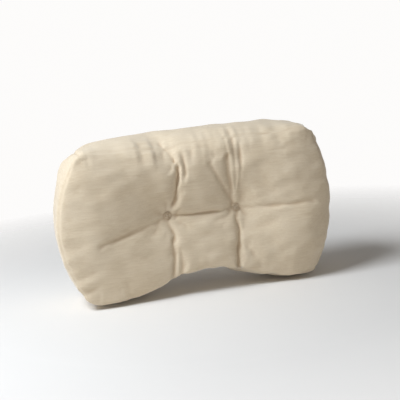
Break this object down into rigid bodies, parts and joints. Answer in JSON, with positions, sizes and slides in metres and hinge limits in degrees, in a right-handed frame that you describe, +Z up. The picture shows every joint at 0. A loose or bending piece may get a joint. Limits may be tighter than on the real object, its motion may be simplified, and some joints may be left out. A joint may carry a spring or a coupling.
{
  "type": "lumbar support cushion",
  "caption": "Box-built lumbar support cushion with an arched lower edge, button tufting and a zip in its back, filled with fibre in an inner casing.",
  "frame": {"origin": "middle of the overall box at the level of the surface that the cushion stands on", "axes": "+X along the cushion's width, +Y from its tufted front to its back, +Z up"},
  "size_m": [0.484, 0.149, 0.28],
  "materials": {
    "cover_velvet": "matte",
    "casing_cloth": "matte",
    "fibre": "matte",
    "button_plastic": "satin",
    "twine": "matte",
    "zip_tape_cloth": "matte",
    "zip_coil_nylon": "satin",
    "zip_metal": "satin"
  },
  "bodies": {
    "cushion": {"front_panel": "cover_velvet", "back_panel_upper": "cover_velvet", "back_panel_lower": "cover_velvet", "top_boxing": "cover_velvet", "bottom_boxing": "cover_velvet", "left_end_boxing": "cover_velvet", "right_end_boxing": "cover_velvet", "inner_casing": "casing_cloth", "fibre_filling": "fibre", "front_button_left": "button_plastic", "front_button_right": "button_plastic", "back_button_left": "button_plastic", "back_button_right": "button_plastic", "tufting_twine_left": "twine", "tufting_twine_right": "twine", "zip_tape_upper": "zip_tape_cloth", "zip_tape_lower": "zip_tape_cloth", "zip_coil_upper": "zip_coil_nylon", "zip_coil_lower": "zip_coil_nylon", "zip_stop_closed_end": "zip_metal", "zip_stop_open_end": "zip_metal"},
    "zip_slider": {"zip_slider": "zip_metal"},
    "zip_pull": {"zip_pull_tab": "zip_metal"}
  },
  "joints": [
    {"name": "zip_slide", "type": "slide", "parent": "cushion", "child": "zip_slider", "axis": [1, 0, 0], "range_m": [-0.281, 0]},
    {"name": "pull_tab_hinge", "type": "hinge", "parent": "zip_slider", "child": "zip_pull", "pos_m": [0.1405, 0.07255, 0.072], "axis": [0, 0, -1], "range_deg": [0, 170]}
  ]
}
